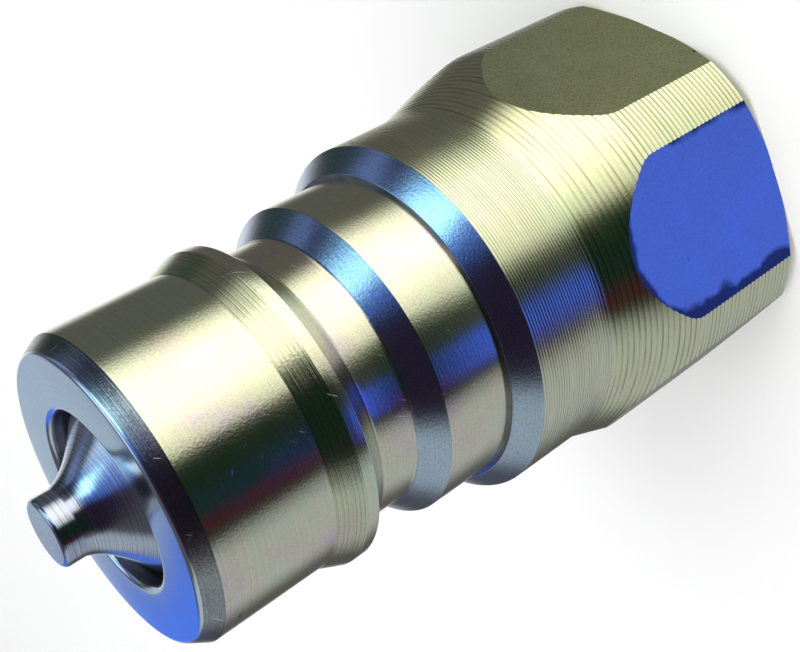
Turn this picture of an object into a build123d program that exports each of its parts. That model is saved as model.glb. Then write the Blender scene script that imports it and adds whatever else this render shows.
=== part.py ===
from build123d import *
import math
import os

# Quick coupling nipple: the male half of a poppet-valve coupling for hydraulic hose.
# Sizes are millimetres. The axis is Z, the origin is the centre of the rear face, and
# the part stands on its hexagon end with its nose up.

# Outside of the body, from the nose back
body_length = 47.5
nose_diameter = 20.5
nose_length = 9.0
nose_bevel_length = 1.25
nose_bevel_depth = 0.75
collar_height = 0.75
collar_cone_length = 1.75
collar_rim_length = 0.85
groove_depth = 1.5
groove_width = 5.8
groove_flank_angle = 45.0
groove_corner_radius = 0.5
land_length = 4.85
shoulder_step_height = 0.3
shoulder_cone_height = 1.4
shoulder_cone_length = 1.4
band_length = 6.2
flare_length = 6.4
flare_foot_radius = 5.0
hex_across_flats = 27.0
hex_corner_height = 1.2
rear_bevel_length = 0.9
rear_bevel_depth = 1.1
edge_radius = 0.2

# Threaded port, female G 1/2, bored here to the major diameter of its thread
thread_major_diameter = 20.955
thread_length = 14.0
port_mouth_bevel = 0.82
thread_relief_depth = 0.27
thread_relief_width = 2.0

# Bores that hold the valve
groove_wall = 1.5
guide_shoulder_width = 1.2
guide_bore_lead = 0.5
ring_land_length = 2.0
ring_groove_depth = 0.6
ring_groove_width = 1.1
seat_width = 2.2
seat_angle = 45.0
throat_length = 1.3
throat_mouth_bevel = 0.3

# Poppet
tip_diameter = 4.4
tip_reach = 3.7
tip_length = 1.35
tip_edge_radius = 0.3
trumpet_rim_depth = 1.1
trumpet_rim_clearance = 0.35
trumpet_waist_height = 0.5
trumpet_waist_widening = 1.25
trumpet_tip_angle = 17.0
trumpet_rim_angle = 55.0
head_overlap = 1.1
head_rim_width = 1.5
pilot_clearance = 0.3
pilot_length = 1.5
stem_diameter = 4.0
stem_end_bevel = 0.4
stem_end_inset = 1.0
seat_gap = 0.3
poppet_travel = 5.5
stop_clearance = 0.1

# Seal ring of the poppet
seal_section_diameter = 1.2
seal_seat_gap = 0.1
seal_depth = 0.8
seal_side_clearance = 0.05

# Valve guide
guide_ring_thickness = 2.4
guide_ring_width = 1.6
guide_ring_clearance = 0.05
hub_wall = 1.55
hub_bore_clearance = 0.05
spring_seat_width = 1.7
leg_count = 3
leg_width = 2.4
window_corner_radius = 0.4

# Retaining ring
ring_thickness = 1.0
ring_radial_width = 1.5
ring_clearance = 0.05
ring_gap_angle = 26.0
ring_lug_diameter = 2.8
ring_lug_inset = 0.5
ring_lug_hole_diameter = 1.2

# Spring
spring_wire_diameter = 1.2
spring_turns = 7.5
spring_hub_clearance = 0.2
spring_end_gap = 0.05

os.makedirs("parts", exist_ok=True)

# Diameters that follow: collar and land slide in the same bore of the socket half
collar_diameter = nose_diameter + 2 * collar_height
land_diameter = collar_diameter
groove_diameter = collar_diameter - 2 * groove_depth
band_diameter = land_diameter + 2 * (shoulder_step_height + shoulder_cone_height)
hex_turned_diameter = hex_across_flats + 2 * hex_corner_height
chamber_diameter = groove_diameter - 2 * groove_wall
guide_bore_diameter = chamber_diameter + 2 * guide_shoulder_width
ring_groove_diameter = guide_bore_diameter + 2 * ring_groove_depth
throat_diameter = chamber_diameter - 2 * seat_width
head_diameter = throat_diameter + 2 * head_overlap

# Places along the axis
nose_end = body_length - nose_length
collar_front = nose_end - collar_cone_length
collar_rear = collar_front - collar_rim_length
land_front = collar_rear - groove_width
land_rear = land_front - land_length
band_front = land_rear - shoulder_cone_length
band_rear = band_front - band_length
flare_end = band_rear - flare_length
relief_front = thread_length + thread_relief_width
ring_groove_rear = relief_front + ring_land_length
guide_rear = ring_groove_rear + ring_groove_width
guide_front = guide_rear + guide_ring_thickness
seat_front = body_length - throat_length
seat_slope = math.tan(math.radians(seat_angle))
seat_rear = seat_front - seat_width / seat_slope


def corners(outline, places):
    """The corners of a sketch that lie nearest to the given places."""
    return [outline.vertices().sort_by_distance(place)[0] for place in places]


# Body: one turned bar, with flats milled on its rear end
groove_slope = math.tan(math.radians(groove_flank_angle))
collar_flank = (collar_diameter - groove_diameter) / 2 / groove_slope
land_flank = (land_diameter - groove_diameter) / 2 / groove_slope
groove_floor_front = (groove_diameter / 2, collar_rear - collar_flank)
groove_floor_rear = (groove_diameter / 2, land_front + land_flank)
collar_edge = (collar_diameter / 2, collar_rear)
land_edge = (land_diameter / 2, land_front)
shoulder_edge = (land_diameter / 2 + shoulder_step_height, land_rear)
flare_foot = (band_diameter / 2, band_rear)
flare_top = (hex_turned_diameter / 2, flare_end)

with BuildPart() as body:
    with BuildSketch(Plane.XZ) as outside:
        with BuildLine():
            Polyline(
                (0, 0),
                (hex_turned_diameter / 2 - rear_bevel_depth, 0),
                (hex_turned_diameter / 2, rear_bevel_length),
                flare_top,
                flare_foot,
                (band_diameter / 2, band_front),
                shoulder_edge,
                (land_diameter / 2, land_rear),
                land_edge,
                groove_floor_rear,
                groove_floor_front,
                collar_edge,
                (collar_diameter / 2, collar_front),
                (nose_diameter / 2, nose_end),
                (nose_diameter / 2, body_length - nose_bevel_length),
                (nose_diameter / 2 - nose_bevel_depth, body_length),
                (0, body_length),
                close=True,
            )
        make_face()
        fillet(corners(outside, [groove_floor_rear, groove_floor_front]), groove_corner_radius)
        fillet(corners(outside, [flare_foot, flare_top]), flare_foot_radius)
        fillet(corners(outside, [collar_edge, land_edge, shoulder_edge]), edge_radius)
    revolve(axis=Axis.Z)

    # Flats, milled from the rear face up into the flare
    with BuildSketch():
        Circle(hex_turned_diameter)
        RegularPolygon(hex_across_flats / 2, 6, major_radius=False, mode=Mode.SUBTRACT)
    extrude(amount=band_rear, mode=Mode.SUBTRACT)

    # Port, guide bore, snap ring groove, chamber, conical seat and throat
    with BuildSketch(Plane.XZ):
        with BuildLine():
            Polyline(
                (0, 0),
                (thread_major_diameter / 2 + port_mouth_bevel, 0),
                (thread_major_diameter / 2, port_mouth_bevel),
                (thread_major_diameter / 2, thread_length),
                (thread_major_diameter / 2 + thread_relief_depth, thread_length),
                (thread_major_diameter / 2 + thread_relief_depth, relief_front),
                (guide_bore_diameter / 2 + guide_bore_lead, relief_front),
                (guide_bore_diameter / 2, relief_front + guide_bore_lead),
                (guide_bore_diameter / 2, ring_groove_rear),
                (ring_groove_diameter / 2, ring_groove_rear),
                (ring_groove_diameter / 2, guide_rear),
                (guide_bore_diameter / 2, guide_rear),
                (guide_bore_diameter / 2, guide_front),
                (chamber_diameter / 2, guide_front),
                (chamber_diameter / 2, seat_rear),
                (throat_diameter / 2, seat_front),
                (throat_diameter / 2, body_length - throat_mouth_bevel),
                (throat_diameter / 2 + throat_mouth_bevel, body_length),
                (0, body_length),
                close=True,
            )
        make_face()
    revolve(axis=Axis.Z, mode=Mode.SUBTRACT)

body.part.label = "body"
export_step(body.part, "parts/body.step")


# Places and radii of the poppet, closed on its seat
tip_front = body_length + tip_reach
tip_foot = tip_front - tip_length
trumpet_rim = body_length - trumpet_rim_depth
trumpet_rim_radius = throat_diameter / 2 - trumpet_rim_clearance
tip_lean = math.radians(trumpet_tip_angle)
rim_lean = math.radians(trumpet_rim_angle)
tip_direction = (math.sin(tip_lean), -math.cos(tip_lean))
rim_direction = (math.sin(rim_lean), -math.cos(rim_lean))
cone_offset = seat_gap / math.cos(math.radians(seat_angle))


def cone_radius(height):
    """Radius of the poppet's cone, which runs alongside the seat of the body."""
    return throat_diameter / 2 - cone_offset + (seat_front - height) * seat_slope


def cone_height(radius):
    """Height at which the poppet's cone has the given radius."""
    return seat_front - (radius - throat_diameter / 2 + cone_offset) / seat_slope


seal_height = seat_front - seal_depth
seal_seat_distance = seal_section_diameter / 2 + seal_seat_gap
seal_radius = throat_diameter / 2 + seal_depth * seat_slope - seal_seat_distance / math.cos(
    math.radians(seat_angle)
)
seal_groove_front = seal_height + seal_section_diameter / 2 + seal_side_clearance
seal_groove_rear = seal_height - seal_section_diameter / 2 - seal_side_clearance
seal_groove_radius = seal_radius - seal_section_diameter / 2 - seal_side_clearance
head_rear = cone_height(head_diameter / 2) - head_rim_width
pilot_rear = head_rear - pilot_length
hub_bore_diameter = stem_diameter + 2 * hub_bore_clearance
hub_diameter = hub_bore_diameter + 2 * hub_wall
hub_foot_diameter = hub_diameter + 2 * spring_seat_width
spring_inner_radius = hub_diameter / 2 + spring_hub_clearance
pilot_radius = spring_inner_radius - pilot_clearance
stem_end = guide_rear + stem_end_inset


# Valve guide: a spider whose hub guides the stem and carries the spring
window_diameter = guide_bore_diameter - 2 * guide_ring_clearance - 2 * guide_ring_width
leg_middle = (window_diameter + hub_foot_diameter) / 4
hub_front = pilot_rear - poppet_travel - stop_clearance
hub_length = hub_front - guide_rear

with BuildPart() as valve_guide:
    with BuildSketch(Plane.XY.offset(guide_rear)):
        Circle(guide_bore_diameter / 2 - guide_ring_clearance)
    extrude(amount=guide_ring_thickness)
    with BuildSketch(Plane.XY.offset(guide_rear)):
        Circle(hub_diameter / 2)
    extrude(amount=hub_length)
    with BuildSketch(Plane.XY.offset(guide_rear)) as windows:
        Circle(window_diameter / 2)
        Circle(hub_foot_diameter / 2, mode=Mode.SUBTRACT)
        with PolarLocations(leg_middle, leg_count, start_angle=90):
            Rectangle(window_diameter / 2, leg_width, mode=Mode.SUBTRACT)
        fillet(windows.vertices(), window_corner_radius)
    extrude(amount=guide_ring_thickness, mode=Mode.SUBTRACT)
    with BuildSketch(Plane.XY.offset(guide_rear)):
        Circle(hub_bore_diameter / 2)
    extrude(amount=hub_length, mode=Mode.SUBTRACT)
    hub_top = valve_guide.edges().group_by(Axis.Z)[-1]
    chamfer(hub_top, edge_radius)

valve_guide.part.label = "valve_guide"
export_step(valve_guide.part, "parts/valve_guide.step")


# Retaining ring: an internal snap ring with two pierced lugs at its gap
ring_outer_radius = ring_groove_diameter / 2 - ring_clearance
ring_inner_radius = ring_outer_radius - ring_radial_width
lug_radius = ring_inner_radius - ring_lug_inset
lug_angle = ring_gap_angle / 2 + math.degrees(ring_lug_diameter / 2 / lug_radius)
gap_half_width = 2 * ring_outer_radius * math.tan(math.radians(ring_gap_angle / 2))
ring_rear = guide_rear - ring_thickness - ring_clearance

with BuildPart() as retaining_ring:
    with BuildSketch(Plane.XY.offset(ring_rear)):
        Circle(ring_outer_radius)
        Circle(ring_inner_radius, mode=Mode.SUBTRACT)
        Polygon(
            (0, 0),
            (-gap_half_width, -2 * ring_outer_radius),
            (gap_half_width, -2 * ring_outer_radius),
            align=None,
            mode=Mode.SUBTRACT,
        )
        with PolarLocations(lug_radius, 2, -90 - lug_angle, 2 * lug_angle, endpoint=True):
            Circle(ring_lug_diameter / 2)
            Circle(ring_lug_hole_diameter / 2, mode=Mode.SUBTRACT)
    extrude(amount=ring_thickness)

retaining_ring.part.label = "retaining_ring"
export_step(retaining_ring.part, "parts/retaining_ring.step")


# Poppet: tip, trumpet, head with its seal groove, spring pilot and stem
with BuildPart() as poppet:
    with BuildSketch(Plane.XZ) as poppet_outline:
        with BuildLine():
            trumpet = Spline(
                (tip_diameter / 2, tip_foot),
                (tip_diameter / 2 + trumpet_waist_widening, body_length + trumpet_waist_height),
                (trumpet_rim_radius, trumpet_rim),
                tangents=[tip_direction, rim_direction],
            )
            Polyline(
                trumpet @ 1,
                (trumpet_rim_radius, cone_height(trumpet_rim_radius)),
                (cone_radius(seal_groove_front), seal_groove_front),
                (seal_groove_radius, seal_groove_front),
                (seal_groove_radius, seal_groove_rear),
                (cone_radius(seal_groove_rear), seal_groove_rear),
                (head_diameter / 2, cone_height(head_diameter / 2)),
                (head_diameter / 2, head_rear),
                (pilot_radius, head_rear),
                (pilot_radius, pilot_rear),
                (stem_diameter / 2, pilot_rear),
                (stem_diameter / 2, stem_end + stem_end_bevel),
                (stem_diameter / 2 - stem_end_bevel, stem_end),
                (0, stem_end),
                (0, tip_front),
                (tip_diameter / 2, tip_front),
                trumpet @ 0,
            )
        make_face()
        fillet(corners(poppet_outline, [(tip_diameter / 2, tip_front)]), tip_edge_radius)
    revolve(axis=Axis.Z)

poppet.part.label = "poppet"
export_step(poppet.part, "parts/poppet.step")


# Seal ring in the poppet's groove
with BuildPart() as poppet_seal:
    with BuildSketch(Plane.XZ):
        with Locations((seal_radius, seal_height)):
            Circle(seal_section_diameter / 2)
    revolve(axis=Axis.Z)

poppet_seal.part.label = "poppet_seal"
export_step(poppet_seal.part, "parts/poppet_seal.step")


# Spring between guide and head, with its end turns ground flat
spring_rear = guide_front
spring_front = head_rear - spring_end_gap
spring_length = spring_front - spring_rear
spring_middle_radius = spring_inner_radius + spring_wire_diameter / 2

with BuildPart() as spring:
    with BuildLine():
        coil = Helix(
            pitch=spring_length / spring_turns,
            height=spring_length,
            radius=spring_middle_radius,
            center=(0, 0, spring_rear),
        )
    with BuildSketch(Plane(origin=coil @ 0, z_dir=coil % 0)):
        Circle(spring_wire_diameter / 2)
    sweep(path=coil, is_frenet=True)
    with BuildSketch(Plane.XY.offset(spring_rear)):
        Circle(spring_middle_radius + spring_wire_diameter)
    extrude(amount=spring_length, mode=Mode.INTERSECT)

spring.part.label = "spring"
export_step(spring.part, "parts/spring.step")
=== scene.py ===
# %% [markdown]
# # A hydraulic coupling nipple in plated steel
#
# The object is the male half of a quick coupling. One turned steel bar makes its body: a
# smooth nose, a locking groove, a land, a band and a hexagon end with a threaded port. A
# poppet on a spring closes the bore in the nose. The whole thing is zinc plated, and its
# passivation film shows straw yellow with blue and violet where it is thicker.
#
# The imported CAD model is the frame. Everything here is in metres and in the frame of that
# model: the axis is Z, the part stands on its hexagon end and its nose points up.

# %% Load the frame
import bpy
import math
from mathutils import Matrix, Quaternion, Vector


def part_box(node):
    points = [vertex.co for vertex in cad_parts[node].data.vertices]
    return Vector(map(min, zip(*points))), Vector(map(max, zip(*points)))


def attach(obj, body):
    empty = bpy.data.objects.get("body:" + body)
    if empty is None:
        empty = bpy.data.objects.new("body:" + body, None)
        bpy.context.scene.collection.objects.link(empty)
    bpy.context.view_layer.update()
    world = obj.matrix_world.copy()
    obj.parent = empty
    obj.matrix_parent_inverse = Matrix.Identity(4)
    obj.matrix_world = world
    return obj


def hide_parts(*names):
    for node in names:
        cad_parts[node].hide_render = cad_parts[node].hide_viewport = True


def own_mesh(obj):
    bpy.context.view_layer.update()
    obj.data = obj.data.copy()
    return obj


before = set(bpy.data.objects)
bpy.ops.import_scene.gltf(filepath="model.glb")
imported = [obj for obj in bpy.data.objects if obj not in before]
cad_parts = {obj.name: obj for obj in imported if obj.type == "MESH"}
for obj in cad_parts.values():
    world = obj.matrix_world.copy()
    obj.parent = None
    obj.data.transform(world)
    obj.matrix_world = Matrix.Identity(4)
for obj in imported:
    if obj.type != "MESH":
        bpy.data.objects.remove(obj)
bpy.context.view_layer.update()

MM = 0.001
BODY = "nipple_body"

# %% [markdown]
# ## Sizes
#
# A turned part is drawn as one outline, from the nose back. These are the diameters and
# lengths of the bar, and each place along the axis is worked out from the ones before it.

# %% Sizes of the body
body_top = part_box("body")[1].z

nose_radius = 10.25 * MM
nose_length = 9.0 * MM
nose_bevel_length = 1.25 * MM
nose_bevel_depth = 0.75 * MM
land_radius = 11.0 * MM
collar_cone_length = 1.75 * MM
collar_rim_length = 0.85 * MM
groove_radius = 9.5 * MM
groove_width = 5.8 * MM
land_length = 4.85 * MM
shoulder_step = 0.3 * MM
shoulder_cone_length = 1.4 * MM
band_radius = 12.7 * MM
band_length = 6.2 * MM
flare_length = 6.4 * MM
flare_foot_radius = 5.0 * MM
hex_radius = 14.7 * MM
hex_apothem = 13.5 * MM
rear_bevel_length = 0.9 * MM
rear_bevel_depth = 1.1 * MM

nose_end = body_top - nose_length
collar_front = nose_end - collar_cone_length
collar_rear = collar_front - collar_rim_length
land_front = collar_rear - groove_width
land_rear = land_front - land_length
band_front = land_rear - shoulder_cone_length
band_rear = band_front - band_length
flare_end = band_rear - flare_length
groove_flank = land_radius - groove_radius

# %% Sizes of the bores
thread_radius = 10.4775 * MM
thread_end = 14.0 * MM
thread_minor_radius = 9.3155 * MM
thread_pitch = 1.814 * MM
port_bevel = 0.82 * MM
relief_depth = 0.27 * MM
relief_end = 16.0 * MM
guide_bore_radius = 9.2 * MM
guide_bore_lead = 0.5 * MM
ring_groove_rear = 18.0 * MM
ring_groove_front = 19.1 * MM
ring_groove_radius = 9.8 * MM
guide_seat = 21.5 * MM
chamber_radius = 8.0 * MM
throat_radius = 5.8 * MM
throat_length = 1.3 * MM
mouth_rounding = 0.42 * MM
seat_front = body_top - throat_length
seat_rear = seat_front - (chamber_radius - throat_radius)

print("nose ends at", round(nose_end / MM, 2), "mm, band at", round(band_front / MM, 2))

# %% [markdown]
# ## Small helpers for modelling
#
# A turned piece is made as on a lathe. One vertex is pushed along the outline with Extrude,
# and Spin turns that outline about the axis. The frame's own pieces are selected after
# loading, so every step starts by deselecting all.


# %% Helpers for modelling
def start_piece(name):
    """A new mesh piece with one vertex at the origin, in edit mode."""
    bpy.ops.object.select_all(action="DESELECT")
    bpy.ops.mesh.primitive_plane_add(size=MM)
    piece = bpy.context.object
    piece.name = name
    piece.data.name = name
    bpy.ops.object.mode_set(mode="EDIT")
    bpy.ops.mesh.select_mode(type="VERT")
    bpy.ops.mesh.select_all(action="SELECT")
    bpy.ops.mesh.merge(type="CENTER")
    return piece


def draw_outline(points):
    """Extrudes the one selected vertex from place to place through (radius, height) points."""
    radius, height = points[0]
    bpy.ops.transform.translate(value=(radius, 0, height))
    for next_radius, next_height in points[1:]:
        step = (next_radius - radius, 0, next_height - height)
        bpy.ops.mesh.extrude_region_move(TRANSFORM_OT_translate={"value": step})
        radius, height = next_radius, next_height


def turn_outline(steps, closed=True):
    """Spins the drawn outline about the axis into a closed skin that faces outwards."""
    bpy.ops.mesh.select_all(action="SELECT")
    if closed:
        bpy.ops.mesh.remove_doubles(threshold=0.002 * MM)
    bpy.ops.mesh.spin(steps=steps, angle=math.tau, center=(0, 0, 0), axis=(0, 0, 1))
    bpy.ops.mesh.select_all(action="SELECT")
    bpy.ops.mesh.remove_doubles(threshold=0.002 * MM)
    bpy.ops.mesh.normals_make_consistent(inside=False)
    bpy.ops.object.mode_set(mode="OBJECT")


def soften(corners, arc_steps=4):
    """An outline of (radius, height, rounding) corners with each corner turned into an arc."""
    points = []
    for i, (radius, height, rounding) in enumerate(corners):
        here = Vector((radius, height))
        if rounding == 0 or i in (0, len(corners) - 1):
            points.append((radius, height))
            continue
        back = (Vector(corners[i - 1][:2]) - here).normalized()
        ahead = (Vector(corners[i + 1][:2]) - here).normalized()
        half_turn = math.acos(max(-1, min(1, back.dot(ahead)))) / 2
        reach = rounding / math.tan(half_turn)
        centre = here + (back + ahead).normalized() * (rounding / math.sin(half_turn))
        first = here + back * reach - centre
        last = here + ahead * reach - centre
        for step in range(arc_steps + 1):
            share = step / arc_steps
            spoke = (first * (1 - share) + last * share).normalized() * rounding
            points.append(tuple(centre + spoke))
    return points


def radius_at(outline, height):
    """Radius of an outline that runs down the axis, at a height between its ends."""
    for (r0, z0), (r1, z1) in zip(outline, outline[1:]):
        if z1 <= height <= z0 and z0 > z1:
            return r0 + (r1 - r0) * (z0 - height) / (z0 - z1)
    return outline[-1][0]


def scallops(outline, top, bottom, pitch, depth, samples=4):
    """The outline between two heights with the furrows that a round-nosed tool cuts."""
    points = []
    count = round((top - bottom) / pitch)
    for i in range(count * samples):
        along = i / samples
        height = top - (top - bottom) * along / count
        furrow = 1 - (2 * (along % 1) - 1) ** 2
        points.append((radius_at(outline, height) - depth * furrow, height))
    return points


# %% [markdown]
# ## The body
#
# The nose, groove and land were finished with a fine cut, and their marks are too small to
# model. The band, the flare and the hexagon were left rough: a round-nosed tool cut
# furrows a quarter to half a millimetre apart, and they catch the light as bright lines.
# Those furrows are in the outline itself. The flats are milled after turning, so here too
# they are cut last: Bisect takes a slice off the turned bar, six times, and fills the cut.

# %% Outline of the body
edge = 0.12 * MM
nose_rim = 0.4 * MM
groove_corner = 0.5 * MM
mouth_edge = throat_radius + 1.5 * mouth_rounding

fine_side = soften([
    (mouth_edge, body_top, 0),
    (nose_radius - nose_bevel_depth, body_top, nose_rim),
    (nose_radius, body_top - nose_bevel_length, edge),
    (nose_radius, nose_end, edge),
    (land_radius, collar_front, edge),
    (land_radius, collar_rear, edge),
    (groove_radius, collar_rear - groove_flank, groove_corner),
    (groove_radius, land_front + groove_flank, groove_corner),
    (land_radius, land_front, edge),
    (land_radius, land_rear, 0),
    (land_radius + shoulder_step, land_rear, edge),
    (band_radius, band_front, 0),
])
rough_side = soften([
    (band_radius, band_front, 0),
    (band_radius, band_rear, flare_foot_radius),
    (hex_radius, flare_end, flare_foot_radius),
    (hex_radius, rear_bevel_length, 0),
], arc_steps=8)
bore_side = soften([
    (hex_radius, rear_bevel_length, 0),
    (hex_radius - rear_bevel_depth, 0, edge),
    (thread_radius + port_bevel, 0, edge),
    (thread_radius, port_bevel, 0),
    (thread_radius, thread_end, 0),
    (thread_radius + relief_depth, thread_end, 0),
    (thread_radius + relief_depth, relief_end, 0),
    (guide_bore_radius + guide_bore_lead, relief_end, 0),
    (guide_bore_radius, relief_end + guide_bore_lead, 0),
    (guide_bore_radius, ring_groove_rear, 0),
    (ring_groove_radius, ring_groove_rear, 0),
    (ring_groove_radius, ring_groove_front, 0),
    (guide_bore_radius, ring_groove_front, 0),
    (guide_bore_radius, guide_seat, 0),
    (chamber_radius, guide_seat, 0),
    (chamber_radius, seat_rear, 0),
    (throat_radius, seat_front, 0),
], arc_steps=2)
mouth_side = soften([
    (throat_radius, seat_front, 0),
    (throat_radius, body_top, mouth_rounding),
    (mouth_edge, body_top, 0),
], arc_steps=8)

band_furrow_pitch = 0.23 * MM
band_furrow_depth = 0.014 * MM
hex_furrow_pitch = 0.42 * MM
hex_furrow_depth = 0.024 * MM

band_lines = scallops(rough_side, band_front, band_rear, band_furrow_pitch, band_furrow_depth)
hex_lines = scallops(rough_side, band_rear, rear_bevel_length, hex_furrow_pitch, hex_furrow_depth)
body_outline = fine_side[:-1] + band_lines + hex_lines + bore_side[:-1] + mouth_side
print("body outline has", len(body_outline), "points")

# %% Turn the body and mill its flats
lathe_steps = 192
cut_tolerance = 0.0002 * MM
flat_count = 6
first_flat = math.radians(-90)
flat_normals = []
for i in range(flat_count):
    turn = first_flat + i * math.tau / flat_count
    flat_normals.append(Vector((math.cos(turn), math.sin(turn), 0)))

body = start_piece("nipple_body_shell")
draw_outline(body_outline)
turn_outline(lathe_steps)

bpy.ops.object.mode_set(mode="EDIT")
for outward in flat_normals:
    bpy.ops.mesh.select_all(action="SELECT")
    bpy.ops.mesh.bisect(
        plane_co=tuple(outward * hex_apothem),
        plane_no=tuple(outward),
        use_fill=True,
        clear_outer=True,
        threshold=cut_tolerance,
    )
bpy.ops.mesh.select_all(action="SELECT")
bpy.ops.mesh.normals_make_consistent(inside=False)
bpy.ops.object.mode_set(mode="OBJECT")
bpy.ops.object.shade_smooth_by_angle(angle=math.radians(18))

squarely = 0.9999
flat_tolerance = 0.001 * MM


def lies_on_flat(face):
    """True for a face that milling has cut."""
    for outward in flat_normals:
        gap = abs(face.center.dot(outward) - hex_apothem)
        if face.normal.dot(outward) > squarely and gap < flat_tolerance:
            return True
    return False


milled_faces = [face.index for face in body.data.polygons if lies_on_flat(face)]
for index in milled_faces:
    body.data.polygons[index].use_smooth = False
print("body has", len(body.data.polygons), "faces,", len(milled_faces), "of them milled")

# %% [markdown]
# ## The spring
#
# The spring sits between the guide and the poppet's head. A curve winds up round the axis,
# a bevel gives it the thickness of the wire, and Bisect grinds both ends flat as the
# spring maker does. It gets shorter when the poppet is pushed in.

# %% Wind the spring
spring_rear = guide_seat
spring_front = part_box("spring")[1].z
wire_radius = 0.6 * MM
coil_radius = 4.4 * MM
coil_turns = 7.5
points_per_turn = 28
end_flattening = 0.0385

coil = bpy.data.curves.new("valve_spring", "CURVE")
coil.dimensions = "3D"
coil.bevel_depth = wire_radius
coil.bevel_resolution = 5
strand = coil.splines.new("POLY")
coil_points = round(coil_turns * points_per_turn)
strand.points.add(coil_points)
for i, point in enumerate(strand.points):
    share = i / coil_points
    angle = share * coil_turns * math.tau
    lift = share - end_flattening * math.sin(math.tau * share)
    height = spring_rear + (spring_front - spring_rear) * lift
    point.co = (coil_radius * math.cos(angle), coil_radius * math.sin(angle), height, 1)

spring = bpy.data.objects.new("valve_spring", coil)
bpy.context.scene.collection.objects.link(spring)
bpy.ops.object.select_all(action="DESELECT")
bpy.context.view_layer.objects.active = spring
spring.select_set(True)
bpy.ops.object.convert(target="MESH")
spring = bpy.context.object
bpy.ops.object.mode_set(mode="EDIT")
for height, outward in ((spring_front, 1), (spring_rear, -1)):
    bpy.ops.mesh.select_all(action="SELECT")
    bpy.ops.mesh.bisect(
        plane_co=(0, 0, height),
        plane_no=(0, 0, outward),
        use_fill=True,
        clear_outer=True,
        threshold=cut_tolerance,
    )
bpy.ops.mesh.select_all(action="SELECT")
bpy.ops.mesh.normals_make_consistent(inside=False)
bpy.ops.object.mode_set(mode="OBJECT")
bpy.ops.object.shade_smooth_by_angle(angle=math.radians(40))
print("spring has", len(spring.data.polygons), "faces")

# %% [markdown]
# ## The thread in the port
#
# The CAD bore has the thread's major diameter, and the ridge between its turns is added
# here. A small V is drawn on the bore wall, and the Screw modifier winds it up the port.
# Both ends of the ridge run out into the wall, as a cut thread does.

# %% Wind the thread
thread_start = 0.7 * MM
thread_turns = 7
thread_steps = 96
thread_sink = 0.03 * MM
crest_half_width = 0.17 * MM
root_half_width = 0.80 * MM
run_out_turns = 0.6

thread_root = thread_radius + thread_sink
thread_middle = thread_start + thread_pitch / 2

thread = start_piece("port_thread")
draw_outline([
    (thread_root, thread_middle - root_half_width),
    (thread_minor_radius, thread_middle - crest_half_width),
    (thread_minor_radius, thread_middle + crest_half_width),
    (thread_root, thread_middle + root_half_width),
])
bpy.ops.mesh.select_all(action="SELECT")
bpy.ops.mesh.edge_face_add()
bpy.ops.object.mode_set(mode="OBJECT")
screw = thread.modifiers.new("wind", "SCREW")
screw.screw_offset = thread_pitch
screw.iterations = thread_turns
screw.steps = thread_steps
screw.render_steps = thread_steps
screw.use_normal_calculate = True
bpy.ops.object.modifier_apply(modifier=screw.name)

# How many turns a vertex is from the ridge's start tells how far it has run out.
for vertex in thread.data.vertices:
    radius = math.hypot(vertex.co.x, vertex.co.y)
    angle = math.atan2(vertex.co.y, vertex.co.x) % math.tau
    turns = (vertex.co.z - thread_middle) / thread_pitch
    wound = round(turns - angle / math.tau) + angle / math.tau
    from_end = min(wound, thread_turns - wound) / run_out_turns
    fade = max(0.0, min(1.0, from_end))
    new_radius = thread_root + (radius - thread_root) * fade
    vertex.co.x *= new_radius / radius
    vertex.co.y *= new_radius / radius
bpy.ops.object.mode_set(mode="EDIT")
bpy.ops.mesh.select_all(action="SELECT")
bpy.ops.mesh.normals_make_consistent(inside=False)
bpy.ops.object.mode_set(mode="OBJECT")
bpy.ops.object.shade_smooth_by_angle(angle=math.radians(30))
print("thread has", len(thread.data.polygons), "faces")

# %% [markdown]
# ## Where each piece rides
#
# The new body, spring and thread move with the fixed half of the frame. The body and the
# spring stand for the CAD pieces of the same name.

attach(body, BODY)
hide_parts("body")
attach(thread, BODY)
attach(spring, BODY)
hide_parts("spring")
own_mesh(spring)

# %% [markdown]
# ## Small helpers for materials
#
# A material is a tree of nodes. These helpers add a node and join its inputs to numbers or
# to other sockets, so that each finish further down reads like a short recipe. A group is a
# tree with its own inputs, and several materials can hold it, each with its own values.


# %% Helpers for node trees
def add_node(tree, kind, settings=None, **inputs):
    """A node with its properties and inputs set; an input is a value or another socket."""
    made = tree.nodes.new(kind)
    for key, value in (settings or {}).items():
        setattr(made, key, value)
    for key, value in inputs.items():
        name = key.replace("_", " ")
        socket = made.inputs[int(key[1:])] if key[1:].isdigit() else made.inputs[name]
        if isinstance(value, bpy.types.NodeSocket):
            tree.links.new(value, socket)
        else:
            socket.default_value = value
    return made


def maths(tree, operation, a, b=0.0, c=0.0):
    """The result of a Math node."""
    return add_node(tree, "ShaderNodeMath", {"operation": operation}, i0=a, i1=b, i2=c).outputs[0]


def remap(tree, value, low, high, to_low=0.0, to_high=1.0, curve="LINEAR"):
    """The value carried from one range to another and held at its ends."""
    made = add_node(tree, "ShaderNodeMapRange", {"interpolation_type": curve}, Value=value)
    ends = {"From Min": low, "From Max": high, "To Min": to_low, "To Max": to_high}
    for name, number in ends.items():
        made.inputs[name].default_value = number
    return made.outputs[0]


def scaled(tree, place, factors):
    """A place with each of its coordinates multiplied."""
    made = add_node(tree, "ShaderNodeVectorMath", {"operation": "MULTIPLY"}, i0=place)
    made.inputs[1].default_value = factors
    return made.outputs[0]


def noise(tree, place, scale, detail=2.0):
    """The grey value of a noise texture."""
    return add_node(tree, "ShaderNodeTexNoise", Vector=place, Scale=scale, Detail=detail).outputs["Fac"]


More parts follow.
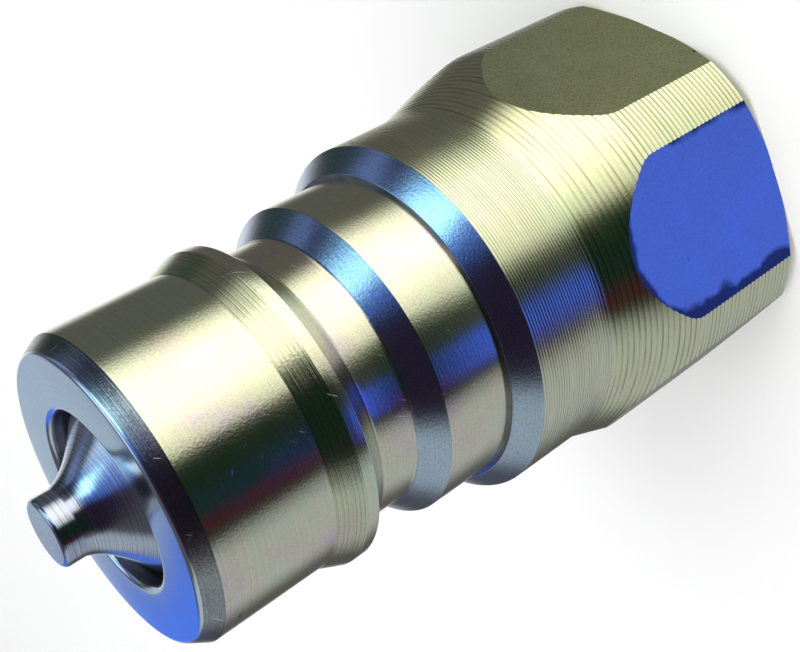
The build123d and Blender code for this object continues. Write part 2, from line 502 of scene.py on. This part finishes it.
def blend_colours(tree, share, first, second, mode="MIX"):
    """The two colours mixed by share."""
    made = tree.nodes.new("ShaderNodeMix")
    made.data_type = "RGBA"
    made.blend_type = mode
    for socket, value in ((made.inputs[0], share), (made.inputs[6], first), (made.inputs[7], second)):
        if isinstance(value, bpy.types.NodeSocket):
            tree.links.new(value, socket)
        else:
            socket.default_value = value
    return made.outputs[2]


def new_group(name, inputs, outputs):
    """An empty shader group with named sockets; inputs hold (name, socket type, value)."""
    group = bpy.data.node_groups.new(name, "ShaderNodeTree")
    for socket_name, kind, value in inputs:
        socket = group.interface.new_socket(socket_name, in_out="INPUT", socket_type=kind)
        if value is not None:
            socket.default_value = value
    for socket_name, kind in outputs:
        group.interface.new_socket(socket_name, in_out="OUTPUT", socket_type=kind)
    entry = group.nodes.new("NodeGroupInput")
    result = group.nodes.new("NodeGroupOutput")
    return group, entry.outputs, result.inputs


def place_group(tree, group, **inputs):
    """A group placed in a tree with its inputs set."""
    made = tree.nodes.new("ShaderNodeGroup")
    made.node_tree = group
    for key, value in inputs.items():
        socket = made.inputs[key.replace("_", " ")]
        if isinstance(value, bpy.types.NodeSocket):
            tree.links.new(value, socket)
        else:
            socket.default_value = value
    return made.outputs


FLOAT = "NodeSocketFloat"
VECTOR = "NodeSocketVector"
COLOUR = "NodeSocketColor"

# %% [markdown]
# ## Shared effects
#
# Every turned surface needs the same few things, so each is a group that is built once.
# A place on the part is best told by its distance from the axis, its height and its angle.
# Turning marks are rings that follow the outline. Furrow ridges are the thin lines between
# two passes of the round-nosed tool, where dirt stays. Grain is the fine crystal structure
# of the zinc, which makes the edge of every reflection sparkle. Scratches are short hairs
# at two slants, and pits are the few dark spots where the plating has failed.

# %% Place around the axis
axis_group, entry, result = new_group(
    "place_round_axis",
    [("Vector", VECTOR, None)],
    [("Radius", FLOAT), ("Height", FLOAT), ("Unrolled", VECTOR)],
)
parts = add_node(axis_group, "ShaderNodeSeparateXYZ", Vector=entry["Vector"])
flat_place = add_node(axis_group, "ShaderNodeCombineXYZ", X=parts.outputs["X"], Y=parts.outputs["Y"])
radius = add_node(axis_group, "ShaderNodeVectorMath", {"operation": "LENGTH"}, i0=flat_place.outputs[0])
angle = maths(axis_group, "ARCTAN2", parts.outputs["Y"], parts.outputs["X"])
around = maths(axis_group, "MULTIPLY", angle, nose_radius)
unrolled = add_node(
    axis_group, "ShaderNodeCombineXYZ", X=around, Y=parts.outputs["Z"], Z=radius.outputs["Value"]
)
axis_group.links.new(radius.outputs["Value"], result["Radius"])
axis_group.links.new(parts.outputs["Z"], result["Height"])
axis_group.links.new(unrolled.outputs[0], result["Unrolled"])

# %% Turning marks
marks_group, entry, result = new_group(
    "turning_marks",
    [("Vector", VECTOR, None), ("Pitch", FLOAT, 0.1 * MM)],
    [("Height", FLOAT)],
)
place = place_group(marks_group, axis_group, Vector=entry["Vector"])
radius_share = 1.37
outwards = maths(marks_group, "MULTIPLY", place["Radius"], radius_share)
along = maths(marks_group, "SUBTRACT", place["Height"], outwards)
cuts = maths(marks_group, "DIVIDE", along, entry["Pitch"])
marks = add_node(
    marks_group, "ShaderNodeTexNoise", {"noise_dimensions": "1D"}, W=cuts, Scale=1.0, Detail=1.5
)
marks_group.links.new(remap(marks_group, marks.outputs["Fac"], 0.3, 0.7), result["Height"])

# %% Furrow ridges
ridge_group, entry, result = new_group(
    "furrow_ridges",
    [("Vector", VECTOR, None), ("Start", FLOAT, 0.0), ("Pitch", FLOAT, 0.3 * MM)],
    [("Ridge", FLOAT)],
)
place = place_group(ridge_group, axis_group, Vector=entry["Vector"])
below = maths(ridge_group, "SUBTRACT", entry["Start"], place["Height"])
passes = maths(ridge_group, "DIVIDE", below, entry["Pitch"])
within = maths(ridge_group, "FRACT", passes)
from_middle = maths(ridge_group, "ABSOLUTE", maths(ridge_group, "MULTIPLY_ADD", within, 2.0, -1.0))
narrow = remap(ridge_group, from_middle, 0.45, 1.0, curve="SMOOTHSTEP")
drawn_round = scaled(ridge_group, place["Unrolled"], (0.12, 1.0, 1.0))
broken = remap(ridge_group, noise(ridge_group, drawn_round, scale=2400.0), 0.3, 0.6)
ridge_group.links.new(maths(ridge_group, "MULTIPLY", narrow, broken), result["Ridge"])

# %% Grain, scratches and pits
grain_group, entry, result = new_group(
    "zinc_grain",
    [("Vector", VECTOR, None)],
    [("Height", FLOAT)],
)
grain_group.links.new(noise(grain_group, entry["Vector"], scale=6500.0, detail=1.0), result["Height"])

scratch_group, entry, result = new_group(
    "scratches",
    [("Vector", VECTOR, None)],
    [("Mask", FLOAT)],
)
place = place_group(scratch_group, axis_group, Vector=entry["Vector"])
scratch_masks = []
for slant, scale in ((35, 1500.0), (-52, 1900.0)):
    slanted = add_node(
        scratch_group, "ShaderNodeVectorRotate", {"rotation_type": "Z_AXIS"}, Vector=place["Unrolled"]
    )
    slanted.inputs["Angle"].default_value = math.radians(slant)
    drawn_out = scaled(scratch_group, slanted.outputs[0], (0.3, 2.6, 0.3))
    scratch_masks.append(remap(scratch_group, noise(scratch_group, drawn_out, scale), 0.72, 0.76))
scratch_group.links.new(maths(scratch_group, "MAXIMUM", *scratch_masks), result["Mask"])

pit_group, entry, result = new_group(
    "pits",
    [("Vector", VECTOR, None), ("Share", FLOAT, 0.2)],
    [("Mask", FLOAT)],
)
cells = add_node(pit_group, "ShaderNodeTexVoronoi", Vector=entry["Vector"], Scale=520.0)
shades = add_node(pit_group, "ShaderNodeSeparateColor", Color=cells.outputs["Color"])
chosen = maths(pit_group, "LESS_THAN", shades.outputs[0], entry["Share"])
fraying = 0.07
jitter = maths(pit_group, "MULTIPLY", noise(pit_group, entry["Vector"], scale=9000.0), fraying)
frayed = maths(pit_group, "ADD", cells.outputs["Distance"], jitter)
spot = remap(pit_group, frayed, 0.13, 0.09)
pit_group.links.new(maths(pit_group, "MULTIPLY", chosen, spot), result["Mask"])

# %% [markdown]
# Grime stays along the edge of a flat, where the spanner doesn't wipe it off. How far a
# place is from that edge is the bar's radius at its height less its own distance from the
# axis. The reach is wider on one side and wanders with a noise, so the border is ragged.

# %% Grime along the edge of a flat
grime_group, entry, result = new_group(
    "flat_edge_grime",
    [("Vector", VECTOR, None), ("Reach", FLOAT, 0.2 * MM)],
    [("Mask", FLOAT)],
)
place = place_group(grime_group, axis_group, Vector=entry["Vector"])
bar = remap(grime_group, place["Height"], flare_end, band_rear, hex_radius, band_radius, "SMOOTHSTEP")
margin = maths(grime_group, "SUBTRACT", bar, place["Radius"])
sides = add_node(grime_group, "ShaderNodeSeparateXYZ", Vector=entry["Vector"])
half_flat = 5.8 * MM
one_side = remap(grime_group, sides.outputs["X"], -half_flat, half_flat, 1.0, 0.0)
smears = noise(grime_group, entry["Vector"], scale=420.0, detail=5.0)
smear_swing = 3.4
smear_level = -1.35
wander = maths(grime_group, "MULTIPLY_ADD", smears, smear_swing, smear_level)
wide = maths(grime_group, "ADD", one_side, wander)
reach = maths(grime_group, "MULTIPLY", wide, entry["Reach"])
over = maths(grime_group, "SUBTRACT", reach, margin)
grimy = remap(grime_group, over, -0.07 * MM, 0.10 * MM, to_high=0.85)
grime_group.links.new(grimy, result["Mask"])

# %% [markdown]
# The passivation film is only a few hundred nanometres thick, and like oil on water it takes
# its colour from its thickness: pale green and straw where it is thinnest, then gold, rose
# and violet, then blue and cyan. Its thickness changes slowly over the part and a little
# from crystal to crystal.

# %% Passivation film
PALE_GREEN = (0.82, 0.93, 0.56, 1)
STRAW = (0.91, 0.92, 0.54, 1)
GOLD = (0.91, 0.82, 0.52, 1)
ROSE = (0.84, 0.68, 0.70, 1)
VIOLET = (0.46, 0.40, 0.74, 1)
BLUE = (0.24, 0.38, 0.88, 1)
CYAN = (0.44, 0.76, 0.92, 1)
SILVER = (0.82, 0.83, 0.80, 1)

film_group, entry, result = new_group(
    "passivation_film",
    [
        ("Vector", VECTOR, None),
        ("Thickness", FLOAT, 0.1),
        ("Clouds", FLOAT, 0.1),
        ("Speckle", FLOAT, 0.0),
        ("Strength", FLOAT, 1.0),
    ],
    [("Color", COLOUR)],
)
clouds = noise(film_group, entry["Vector"], scale=190.0, detail=3.0)
cloud_swing = maths(film_group, "SUBTRACT", clouds, 0.5)
cloudy = maths(film_group, "MULTIPLY", cloud_swing, entry["Clouds"])
grains = place_group(film_group, grain_group, Vector=entry["Vector"])["Height"]
grain_swing = maths(film_group, "SUBTRACT", grains, 0.5)
speckled = maths(film_group, "MULTIPLY", grain_swing, entry["Speckle"])
uneven = maths(film_group, "ADD", cloudy, speckled)
thickness = maths(film_group, "ADD", entry["Thickness"], uneven)
order = film_group.nodes.new("ShaderNodeValToRGB")
film_group.links.new(thickness, order.inputs[0])
stops = order.color_ramp.elements
stops[0].position = 0.0
stops[0].color = PALE_GREEN
stops[1].position = 1.0
stops[1].color = CYAN
for position, colour in ((0.12, STRAW), (0.24, GOLD), (0.36, ROSE), (0.5, VIOLET), (0.7, BLUE)):
    stop = stops.new(position)
    stop.color = colour
tinted = blend_colours(film_group, entry["Strength"], SILVER, order.outputs["Color"])
film_group.links.new(tinted, result["Color"])

# %% [markdown]
# ## Plated metal
#
# All the metal is made by one recipe. The base is the film's colour. Turned metal does not
# shine alike in all directions: its furrows run round the axis, so a highlight smears out
# along the axis. That is what anisotropy does, and the tangent tells it which way the
# furrows run. All the relief goes into one height, in millimetres, for one Bump node.


# %% The recipe for plated metal
RING_DIRT = (0.30, 0.31, 0.22, 1)
RIDGE_DIRT = (0.20, 0.22, 0.12, 1)
PIT_DIRT = (0.05, 0.055, 0.07, 1)
BARE_METAL = (0.88, 0.88, 0.86, 1)
SOIL_AND_SHADE = (0.05, 0.05, 0.065, 1)
scratch_depth = 0.004
shine_swing = 0.25
thinnest_soil_and_shade = 0.4


def plated_metal(
    name, film, shine, marks=(0.15, 0, 0), grain=0.0, speckle=0.0,
    furrow=None, pits=0.0, scratched=0.0, soil_and_shade=0.0, grain_tint=0.0, rim_grime=0.0,
):
    """A plated finish, with its relief given in millimetres.

    film: thickness, clouds and strength of the passivation film.
    shine: roughness and anisotropy.
    marks: pitch and height of the turning marks, and how much they darken the colour.
    furrow: highest point and pitch of the modelled furrows, and how dark their ridges are.
    pits, scratched, soil: how much of each there is, from 0 to 1; soil darkens the colour in patches,
    as soil and as painted shade.
    grain_tint: how much the crystals darken the colour.
    rim_grime: how wide the grime is along the edge of a milled flat, in millimetres.
    """
    material = bpy.data.materials.new(name)
    material.use_nodes = True
    tree = material.node_tree
    tree.nodes.clear()
    where = tree.nodes.new("ShaderNodeTexCoord").outputs["Object"]
    thickness, clouds, strength = film
    roughness, anisotropy = shine
    pitch, mark_height, mark_tint = marks

    film_values = {"Thickness": thickness, "Clouds": clouds, "Speckle": speckle, "Strength": strength}
    colour = place_group(tree, film_group, Vector=where, **film_values)["Color"]
    rings = place_group(tree, marks_group, Vector=where, Pitch=pitch * MM)["Height"]
    ring_shade = maths(tree, "MULTIPLY", rings, mark_tint)
    colour = blend_colours(tree, ring_shade, colour, RING_DIRT)
    if furrow:
        start, furrow_pitch, ridge_tint = furrow
        ridges = place_group(tree, ridge_group, Vector=where, Start=start, Pitch=furrow_pitch)["Ridge"]
        ridge_shade = maths(tree, "MULTIPLY", ridges, ridge_tint)
        colour = blend_colours(tree, ridge_shade, colour, RIDGE_DIRT)
    if pits:
        pit_mask = place_group(tree, pit_group, Vector=where, Share=pits)["Mask"]
        colour = blend_colours(tree, pit_mask, colour, PIT_DIRT)

    crystals = place_group(tree, grain_group, Vector=where)["Height"]
    if grain_tint:
        dark_crystals = remap(tree, crystals, 0.46, 0.62, to_high=grain_tint)
        colour = blend_colours(tree, dark_crystals, colour, RIDGE_DIRT)
    if rim_grime:
        grime = place_group(tree, grime_group, Vector=where, Reach=rim_grime * MM)["Mask"]
        colour = blend_colours(tree, grime, colour, SOIL_AND_SHADE)

    patches = noise(tree, where, scale=420.0, detail=4.0)
    # Darker patches: soil where the bevel rubs, and painted shade on the bevel and in the bores.
    if soil_and_shade:
        soiled_and_shaded = remap(tree, patches, 0.25, 0.65, soil_and_shade * thinnest_soil_and_shade, soil_and_shade)
        colour = blend_colours(tree, soiled_and_shaded, colour, SOIL_AND_SHADE)

    ring_relief = maths(tree, "MULTIPLY", rings, mark_height)
    grain_relief = maths(tree, "MULTIPLY", crystals, grain)
    relief = maths(tree, "ADD", ring_relief, grain_relief)
    if scratched:
        scratches = place_group(tree, scratch_group, Vector=where)["Mask"]
        scratch_shade = maths(tree, "MULTIPLY", scratches, scratched)
        colour = blend_colours(tree, scratch_shade, colour, BARE_METAL)
        scratch_relief = maths(tree, "MULTIPLY", scratches, -scratch_depth)
        relief = maths(tree, "ADD", relief, scratch_relief)
    bump = add_node(tree, "ShaderNodeBump", Height=relief, Distance=MM, Strength=1.0)
    brightest, dullest = roughness * (1 - shine_swing), roughness * (1 + shine_swing)
    uneven_shine = remap(tree, patches, 0.0, 1.0, brightest, dullest)

    shader = tree.nodes.new("ShaderNodeBsdfPrincipled")
    shader.inputs["Metallic"].default_value = 1.0
    tree.links.new(colour, shader.inputs["Base Color"])
    tree.links.new(uneven_shine, shader.inputs["Roughness"])
    tree.links.new(bump.outputs["Normal"], shader.inputs["Normal"])
    if anisotropy:
        across = add_node(tree, "ShaderNodeVectorMath", {"operation": "CROSS_PRODUCT"}, i1=where)
        across.inputs[0].default_value = (0, 0, 1)
        unit_length = {"operation": "NORMALIZE"}
        furrow_way = add_node(tree, "ShaderNodeVectorMath", unit_length, i0=across.outputs[0])
        shader.inputs["Anisotropic"].default_value = anisotropy
        shader.inputs["Anisotropic Rotation"].default_value = 0.25
        tree.links.new(furrow_way.outputs[0], shader.inputs["Tangent"])
    output = tree.nodes.new("ShaderNodeOutputMaterial")
    tree.links.new(shader.outputs[0], output.inputs["Surface"])
    return material


# %% [markdown]
# ## The finishes of the body
#
# The nose, the groove and the land are fine turned and bright, with clouds of rose and
# green in the film. The collar shows coarser rings. The band and the hexagon have dirt on
# the ridges of their furrows. The bevel of the nose rubs against the other half and is
# scratched and soiled, and its colour is darkened further with painted shade. On the two
# cones and the front face the film is thick enough to look blue. The milled flats have no
# rings, only crystals and pits, and the spanner has left grime along the edge of one of
# them. The bores and the ledge of the step behind the land are darkened with painted shade.

# %% Finishes of the body
turned = plated_metal(
    "turned_plating", (0.15, 1.1, 0.75), (0.19, 0.55), (0.13, 0.0014, 0.15), 0.005, 0.3,
    pits=0.08, scratched=0.7, grain_tint=0.05,
)
collared = plated_metal(
    "collar_plating", (0.12, 0.9, 0.85), (0.2, 0.4), (0.13, 0.004, 0.55), 0.005, 0.3,
    pits=0.08, scratched=0.8, grain_tint=0.08,
)
fine_furrowed = plated_metal(
    "band_plating", (0.11, 0.3, 0.85), (0.2, 0.2), (0.09, 0.0008, 0.1), 0.003, 0.2,
    furrow=(band_front, band_furrow_pitch, 0.6), grain_tint=0.04,
)
coarse_furrowed = plated_metal(
    "hexagon_plating", (0.11, 0.3, 1.0), (0.2, 0.2), (0.10, 0.0008, 0.1), 0.003, 0.2,
    furrow=(band_rear, hex_furrow_pitch, 0.7), grain_tint=0.04,
)
faced = plated_metal(
    "faced_plating", (0.82, 0.6, 0.26), (0.17, 0.2), (0.16, 0.0004, 0.06), 0.0006, 0.1,
    grain_tint=0.06,
)
# The bevel is darkened partly as soil where it rubs and partly with painted shade.
bevelled = plated_metal(
    "bevel_plating", (0.5, 0.5, 0.3), (0.24, 0.2), (0.11, 0.005, 0.8), 0.006, 0.5,
    scratched=0.9, soil_and_shade=0.4, grain_tint=0.35,
)
coned = plated_metal(
    "cone_plating", (0.82, 0.4, 0.5), (0.22, 0.3), (0.12, 0.0015, 0.35), 0.006, 0.9,
    pits=0.12, grain_tint=0.35,
)
front_milled = plated_metal(
    "front_flat_plating", (0.12, 0.2, 0.8), (0.22, 0.0), grain=0.005, speckle=0.3,
    pits=0.16, grain_tint=0.06, rim_grime=0.24,
)
milled = plated_metal(
    "milled_plating", (0.12, 0.2, 1.0), (0.22, 0.0), grain=0.006, speckle=0.5,
    pits=0.15, grain_tint=0.22,
)
# The bores are darkened with painted shade, given as a high soil amount.
bored = plated_metal(
    "bored_plating", (0.48, 0.2, 0.4), (0.35, 0.5), (0.15, 0.001, 0.4), 0.001,
    soil_and_shade=0.8,
)

# %% [markdown]
# One mesh can hold several materials. Each face is given its finish by its place on the
# bar and the way it faces, so the borders lie exactly on the turned edges.

# %% Give the body its finishes
body_finishes = (
    turned, collared, fine_furrowed, coarse_furrowed, faced,
    bevelled, coned, front_milled, milled, bored,
)
for finish in body_finishes:
    body.data.materials.append(finish)

face_skin = 0.2 * MM
bored_edge = 0.2 * MM


def body_finish(centre, normal):
    """Which finish a face of the body has, by its place and the way it faces."""
    radius = math.hypot(centre.x, centre.y)
    outward = (centre.x * normal.x + centre.y * normal.y) / radius
    if centre.z > body_top - face_skin and normal.z > 0.5:
        return faced
    # The ledge of the step behind the land takes the bored finish, so it is darkened with painted shade
    # too.
    on_ledge = abs(centre.z - land_rear) < 0.01 * MM and normal.z > 0.9
    if outward < -0.05 or radius < throat_radius + bored_edge or on_ledge:
        return bored
    if centre.z > body_top - nose_bevel_length:
        return bevelled
    if collar_front < centre.z < nose_end:
        return collared
    on_land_flank = land_front < centre.z < land_front + groove_flank
    on_shoulder = band_front < centre.z < land_rear + edge
    if on_land_flank or on_shoulder:
        return coned
    if centre.z > band_front:
        return turned
    return fine_furrowed if centre.z > band_rear else coarse_furrowed


for face in body.data.polygons:
    face.material_index = body_finishes.index(body_finish(face.center, face.normal))
for index in milled_faces:
    face = body.data.polygons[index]
    finish = front_milled if face.normal.dot(flat_normals[0]) > 0.9 else milled
    face.material_index = body_finishes.index(finish)
print("finishes used", sorted({body_finishes[f.material_index].name for f in body.data.polygons}))

# %% [markdown]
# ## The finishes inside
#
# The poppet is turned with clear rings, which catch the light across its trumpet. The
# guide and the spring are duller. The seal is black rubber: not metal, so its colour comes
# from its own pigment, and a little dust makes it uneven.

# %% Finishes of the pieces inside
poppet_metal = plated_metal(
    "poppet_plating", (0.72, 0.6, 0.35), (0.19, 0.5), (0.12, 0.003, 0.6), 0.001, 0.1
)
guide_metal = plated_metal("guide_plating", (0.1, 0.1, 0.4), (0.35, 0.5), (0.2, 0.001, 0.1), 0.001)
spring_metal = plated_metal("spring_steel", (0.0, 0.0, 0.0), (0.35, 0.0), (0.2, 0.0005, 0.2), 0.001)
# The thread in the port takes the bored finish with its painted shade.
thread.data.materials.append(bored)
spring.data.materials.append(spring_metal)

# %% Seal rubber
rubber = bpy.data.materials.new("seal_rubber")
rubber.use_nodes = True
tree = rubber.node_tree
where = tree.nodes.new("ShaderNodeTexCoord").outputs["Object"]
dust = noise(tree, where, scale=900.0, detail=4.0)
rubber_shader = tree.nodes["Principled BSDF"]
rubber_shader.inputs["Roughness"].default_value = 0.6
dusty = blend_colours(tree, dust, (0.012, 0.012, 0.013, 1), (0.035, 0.034, 0.032, 1))
tree.links.new(dusty, rubber_shader.inputs["Base Color"])
skin = add_node(tree, "ShaderNodeBump", Height=dust, Distance=0.004 * MM)
tree.links.new(skin.outputs["Normal"], rubber_shader.inputs["Normal"])

# %% Give the frame's own pieces their finishes
for node_name, finish in (
    ("poppet", poppet_metal),
    ("poppet_seal", rubber),
    ("valve_guide", guide_metal),
    ("retaining_ring", spring_metal),
):
    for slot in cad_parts[node_name].material_slots:
        slot.material = finish
print("materials", len(bpy.data.materials), "and shader groups", len(bpy.data.node_groups))

# %% [markdown]
# ## Floor, light and camera
#
# The floor and the backdrop are one pale sheet that curves up behind the part, as in a
# product studio. Its own colour gives the white background, and it takes the shadow.
#
# Bright metal has hardly any colour of its own: it shows the room. The photograph is a
# cut-out, so its room is gone, but the metal still mirrors a window, dark corners and blue
# walls. Here they are soft-edged cards painted in the world, each told by its bearing and
# its elevation. The sheet is kept out of reflections, so that it doesn't hide them.

# %% [markdown]
# The sheet is half of a channel drawn from its middle outwards: flat, then a wide bend,
# then upright. Spin turns it round the part, so every view has the same pale background.

# %% Floor and backdrop
floor_radius = 1.2
wall_height = 1.6
wall_rounding = 0.5

backdrop = start_piece("backdrop")
draw_outline(soften([
    (0, 0, 0),
    (floor_radius, 0, wall_rounding),
    (floor_radius, wall_height, 0),
], arc_steps=16))
turn_outline(96, closed=False)
bpy.ops.object.shade_smooth_by_angle(angle=math.radians(30))
paper = bpy.data.materials.new("backdrop_paper")
paper.use_nodes = True
paper_shader = paper.node_tree.nodes["Principled BSDF"]
paper_shader.inputs["Base Color"].default_value = (0.92, 0.92, 0.92, 1)
paper_shader.inputs["Roughness"].default_value = 0.9
paper_shader.inputs["Specular IOR Level"].default_value = 0.1
backdrop.data.materials.append(paper)
backdrop.visible_glossy = False
print("backdrop is", round(2 * floor_radius, 2), "m across")

# %% [markdown]
# ### The room that the metal mirrors
#
# A turned cylinder mirrors a narrow strip of the room stretched along its whole length, so
# every card becomes a straight band. The window makes the broad bright band, the dark
# curtain beside it the dark one, and a blue card low down the blue band in it. Cones and
# the front face tilt upwards, and they mirror the ceiling and the walls behind the part.

# %% Cards of the room
room_bearing = math.radians(-71.94)
HALF_TURN = 180.0

# Each card: bearing of its middle, half its width, its lowest and highest elevation, how
# soft its sides are, and its colour. All angles are in degrees, bearings from the camera's.
cards = [
    ("white_wall", 172, 22, -90, 8, 10, (1.00, 1.00, 1.02)),
    ("grey_wall", -97, 32, -90, 12, 14, (0.42, 0.44, 0.54)),
    ("dark_curtain", -33, 26, -90, 36, 5, (0.012, 0.018, 0.018)),
    ("grey_shade", -18, 16, -90, -25, 5, (0.060, 0.066, 0.060)),
    ("blue_card", -41, 12, -90, -29, 4, (0.07, 0.15, 1.15)),
    ("window", 37, 39, -66, 34, 11, (0.90, 0.93, 0.90)),
    ("window_middle", 42, 23, -38, 34, 16, (1.80, 1.78, 1.75)),
    ("nose_shade", -27, 27, -28, 36, 5, (0.008, 0.022, 0.015)),
    ("collar_shade", 4, 12, 8, 36, 4, (0.010, 0.018, 0.014)),
    ("red_card", -48, 6, -26, 6, 4, (0.05, 0.012, 0.016)),
    ("ground", 0, 200, -90, -68, 3, (0.16, 0.17, 0.13)),
    ("olive_shade", 94, 18, -66, -39, 5, (0.155, 0.17, 0.14)),
    ("low_shade", 84, 26, 14, 36, 6, (0.03, 0.03, 0.05)),
    ("green_shade", 124, 14, -6, 20, 6, (0.04, 0.06, 0.05)),
    ("lilac_wall", 168, 16, 4, 26, 5, (0.46, 0.56, 0.66)),
    ("blue_wall", -161, 15, 4, 28, 4, (0.10, 0.24, 0.95)),
    ("grey_blue_wall", -110, 34, 10, 46, 8, (0.50, 0.56, 0.58)),
    ("slate_wall", 118, 18, 22, 36, 6, (0.22, 0.30, 0.55)),
    ("blue_ceiling", 60, 50, 40, 90, 8, (0.10, 0.20, 0.62)),
    ("pale_ceiling", 136, 30, 46, 80, 10, (0.80, 1.05, 1.30)),
    ("dark_ceiling", -32, 54, 34, 90, 9, (0.025, 0.015, 0.03)),
    ("skylight", 68, 22, 44, 62, 6, (1.60, 3.00, 3.60)),
]
print("the room has", len(cards), "cards")

# %% Paint the cards in the world
world = bpy.data.worlds.new("studio_room")
bpy.context.scene.world = world
world.use_nodes = True
world.cycles_visibility.diffuse = False
tree = world.node_tree
tree.nodes.clear()
direction = tree.nodes.new("ShaderNodeTexCoord").outputs["Generated"]
parts = add_node(tree, "ShaderNodeSeparateXYZ", Vector=direction)
compass = maths(tree, "ARCTAN2", parts.outputs["Y"], parts.outputs["X"])
from_camera = maths(tree, "SUBTRACT", compass, room_bearing)
bearing = maths(tree, "DEGREES", from_camera)
elevation = maths(tree, "DEGREES", maths(tree, "ARCSINE", parts.outputs["Z"]))


def inside(value, half_width, softness):
    """1 where the distance is less than half a width, falling softly to 0 beyond it."""
    return remap(tree, value, half_width - softness, half_width + softness, 1.0, 0.0, "SMOOTHSTEP")


room_light = (0.10, 0.10, 0.11, 1)
upright_softness = 4
for name, middle, half_width, lowest, highest, softness, colour in cards:
    aside = maths(tree, "SUBTRACT", bearing, middle)
    wrapped = maths(tree, "WRAP", aside, HALF_TURN, -HALF_TURN)
    across = inside(maths(tree, "ABSOLUTE", wrapped), half_width, softness)
    lift = maths(tree, "SUBTRACT", elevation, (lowest + highest) / 2)
    upright = inside(maths(tree, "ABSOLUTE", lift), (highest - lowest) / 2, upright_softness)
    shown = maths(tree, "MULTIPLY", across, upright)
    room_light = blend_colours(tree, shown, room_light, (*colour, 1))
background = add_node(tree, "ShaderNodeBackground", Color=room_light)
room_out = tree.nodes.new("ShaderNodeOutputWorld")
tree.links.new(background.outputs[0], room_out.inputs["Surface"])

# %% [markdown]
# ### Camera and lamps
#
# The camera looks down on the nose from in front, turned on its side as the photograph
# was taken. It stands close, so the nose looks larger than the hexagon. Two large square
# lamps light the floor and the dull surfaces. They are kept out of reflections, because
# the cards already are what the metal mirrors.

# %% Camera
camera_turn = room_bearing
camera_reach = 74.54 * MM
camera_height = 67.27 * MM
camera_aim = Vector((1.42, 0.43, 20.09)) * MM
camera_roll = math.radians(-119.99)

lens = bpy.data.cameras.new("camera")
lens.sensor_width = 36.0
lens.lens = 57.25
lens.shift_x = -0.0463
lens.shift_y = -0.0589
lens.clip_start = 5 * MM
camera = bpy.data.objects.new("camera", lens)
bpy.context.scene.collection.objects.link(camera)
camera.location = (
    camera_reach * math.cos(camera_turn),
    camera_reach * math.sin(camera_turn),
    camera_height,
)
look = (camera_aim - camera.location).to_track_quat("-Z", "Y")
camera.rotation_mode = "QUATERNION"
camera.rotation_quaternion = look @ Quaternion((0, 0, 1), camera_roll)
bpy.context.scene.camera = camera
bpy.context.scene.view_settings.view_transform = "Standard"
print("camera stands", round((camera.location - camera_aim).length / MM), "mm from its aim")


# %% Lamps
def soft_lamp(name, place, size, power):
    """A square soft lamp that faces the part and that the metal doesn't mirror."""
    data = bpy.data.lights.new(name, "AREA")
    data.size = size
    data.energy = power
    lamp = bpy.data.objects.new(name, data)
    bpy.context.scene.collection.objects.link(lamp)
    lamp.location = place
    lamp.rotation_mode = "QUATERNION"
    lamp.rotation_quaternion = (-Vector(place)).to_track_quat("-Z", "Y")
    lamp.visible_glossy = False


soft_lamp("key_lamp", (0.45, -0.15, 0.80), size=0.5, power=3.2)
soft_lamp("fill_lamp", (-0.3, -0.4, 1.3), size=1.4, power=13.0)
